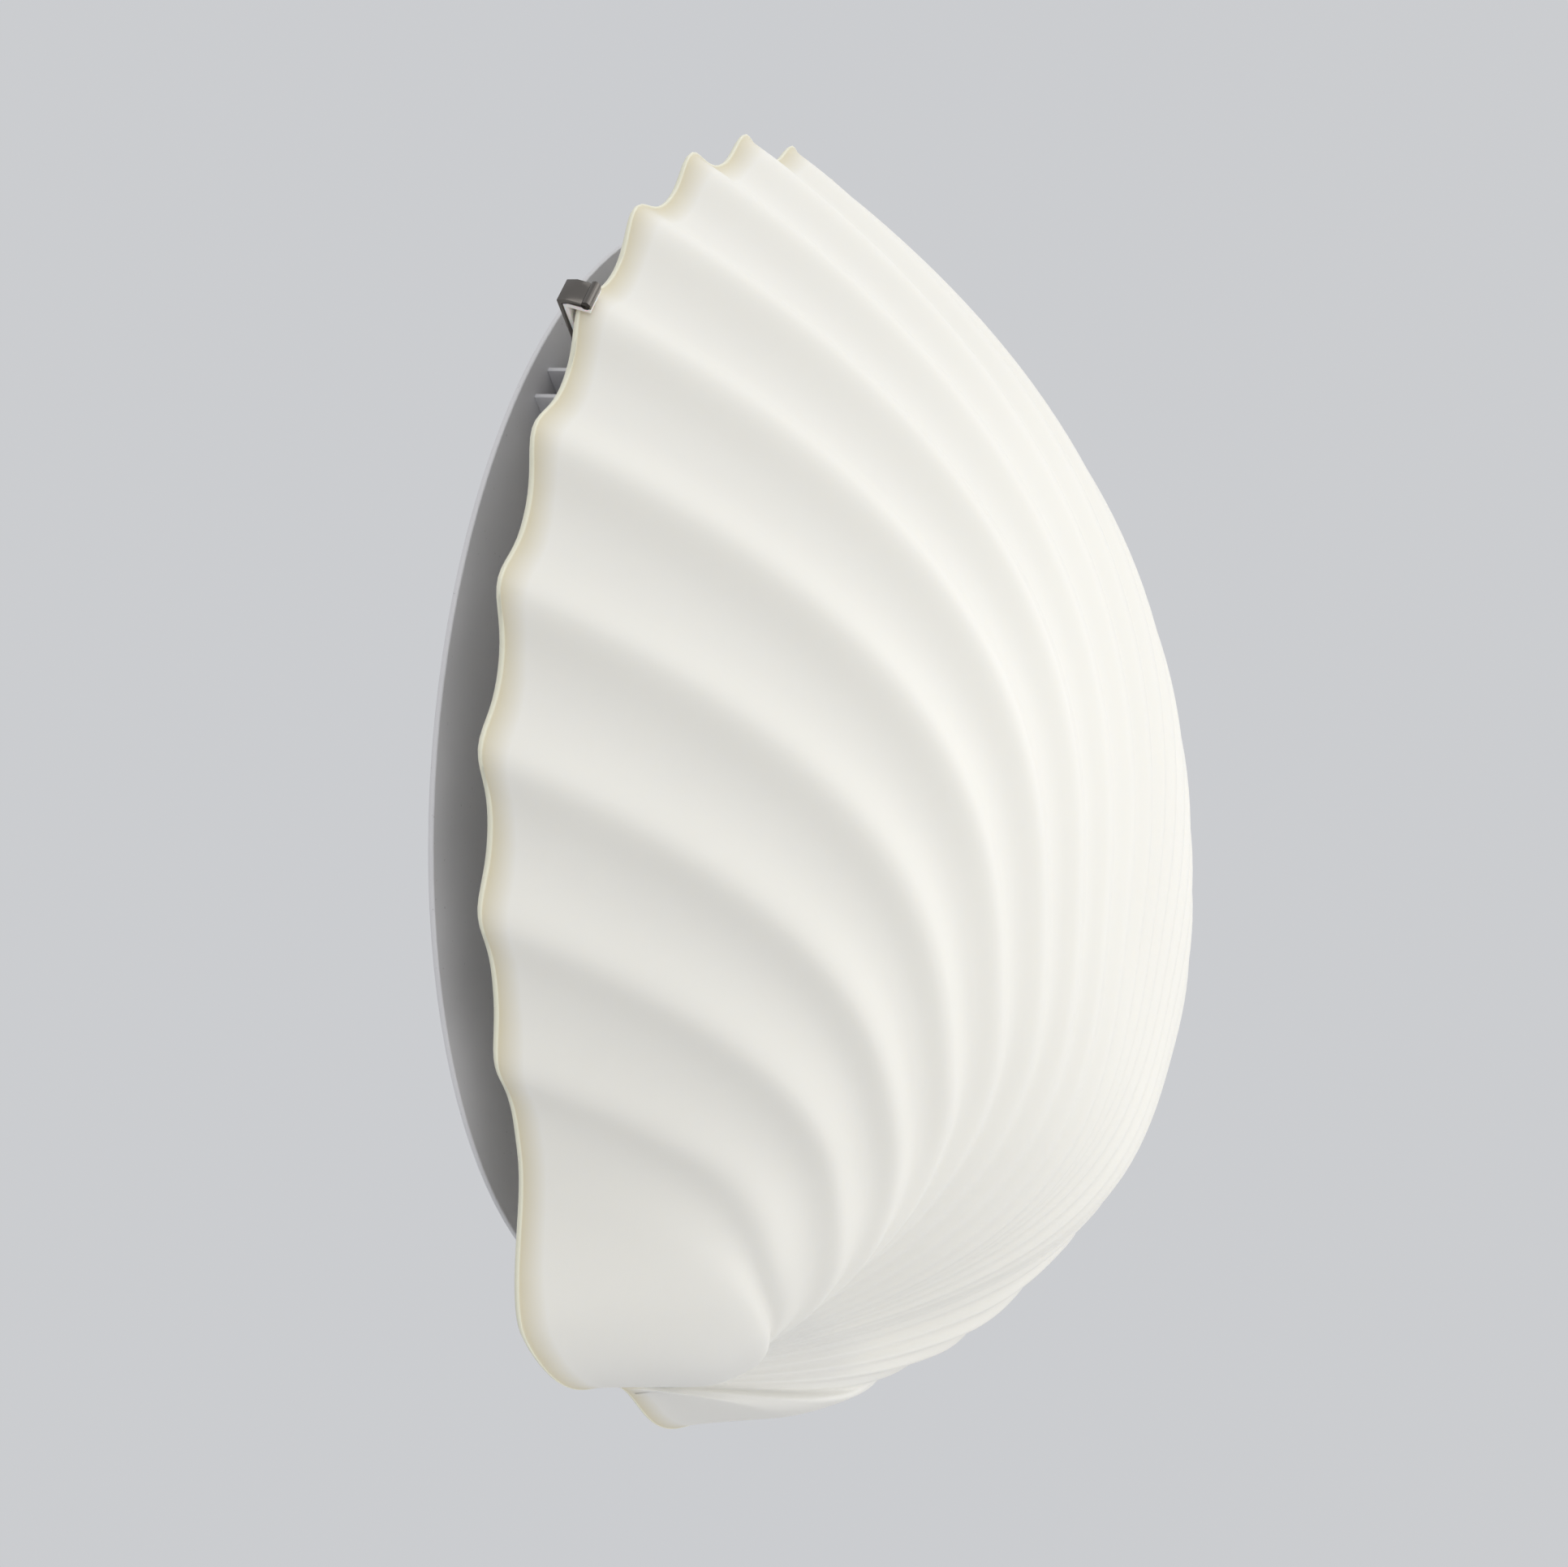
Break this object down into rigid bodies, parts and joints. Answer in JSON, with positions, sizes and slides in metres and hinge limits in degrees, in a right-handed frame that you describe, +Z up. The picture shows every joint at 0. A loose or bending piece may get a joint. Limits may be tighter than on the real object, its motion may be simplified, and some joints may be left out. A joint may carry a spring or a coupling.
{
  "type": "wall light",
  "caption": "Scalloped shell-shaped opal glass wall light on a round plate, with a sprung rim clip and a screw-in lamp behind the shade.",
  "frame": {"origin": "middle of the round plate, on the plane of the wall", "axes": "+Z up, +X to the right seen from the room, +Y into the wall; the shade stands out along -Y"},
  "size_m": [0.2784, 0.1166, 0.2904],
  "materials": {
    "opal_glass": "satin acid-etched opal glass",
    "plate_paint": "pale grey-white stove enamel, semi-matt",
    "nickel_steel": "polished nickel-plated steel strip",
    "zinc_steel": "zinc-plated steel",
    "clear_liner": "pale translucent sleeve",
    "white_moulding": "moulded thermoset",
    "porcelain": "glazed insulating insert",
    "brass": "bright brass",
    "lamp_opal": "soft white inner coating",
    "cap_metal": "rolled bare shell",
    "black_glass": "dark vitrite",
    "clear_glass": "clear stem glass",
    "tungsten": "drawn wire",
    "terminal_body": "translucent white polyamide",
    "live_insulation": "brown",
    "neutral_insulation": "blue",
    "earth_insulation": "green and yellow",
    "grommet_rubber": "soft black"
  },
  "bodies": {
    "root": {"back_plate": "plate_paint", "cable_grommet": "grommet_rubber", "shade": "opal_glass", "clip_bracket": "plate_paint", "clip_pin": "zinc_steel", "clip_rivets": "zinc_steel", "clip_spring": "zinc_steel", "upper_hook": "nickel_steel", "upper_hook_liner": "clear_liner", "upper_hook_rivets": "zinc_steel", "lower_hook": "nickel_steel", "lower_hook_liner": "clear_liner", "lower_hook_rivets": "zinc_steel", "lamp_bracket": "zinc_steel", "bracket_screws": "zinc_steel", "bracket_nuts": "zinc_steel", "holder_base": "white_moulding", "holder_insert": "porcelain", "holder_sleeve": "brass", "holder_contact": "brass", "holder_skirt": "white_moulding", "holder_ring": "white_moulding", "holder_screw": "zinc_steel", "terminal_block": "terminal_body", "terminal_clamp_screws": "brass", "terminal_fixing_screw": "zinc_steel", "terminal_nut": "zinc_steel", "earth_tag": "brass", "earth_screw": "zinc_steel", "earth_nut": "zinc_steel", "live_lead": "live_insulation", "neutral_lead": "neutral_insulation", "earth_lead": "earth_insulation"},
    "clip": {"clip_arm": "nickel_steel", "clip_liner": "clear_liner"},
    "lamp_tip": {"lamp_contact": "brass"},
    "lamp": {"lamp_insulator": "black_glass", "lamp_cap": "cap_metal", "lamp_glass": "lamp_opal", "lamp_stem": "clear_glass", "lamp_filament": "tungsten"}
  },
  "joints": [
    {"name": "clip_hinge", "type": "hinge", "parent": "root", "child": "clip", "pos_m": [-0.11228, -0.0062, 0.02913], "axis": [-0.2511, 0, -0.968], "range_deg": [0, 25], "stiffness_Nm_per_rad": 0.03, "springref_deg": -34.38, "deforming": ["clip_spring"]},
    {"name": "lamp_travel", "type": "slide", "parent": "root", "child": "lamp_tip", "axis": [0, 0, 1], "range_m": [0, 0.02177]},
    {"name": "lamp_turn", "type": "hinge", "parent": "lamp_tip", "child": "lamp", "pos_m": [0, -0.05, 0], "axis": [0, 0, 1], "range_deg": [0, 2160]}
  ],
  "couplings": [
    {"joint": "lamp_turn", "follows": "lamp_travel", "rad_per_m": 1731.4}
  ]
}
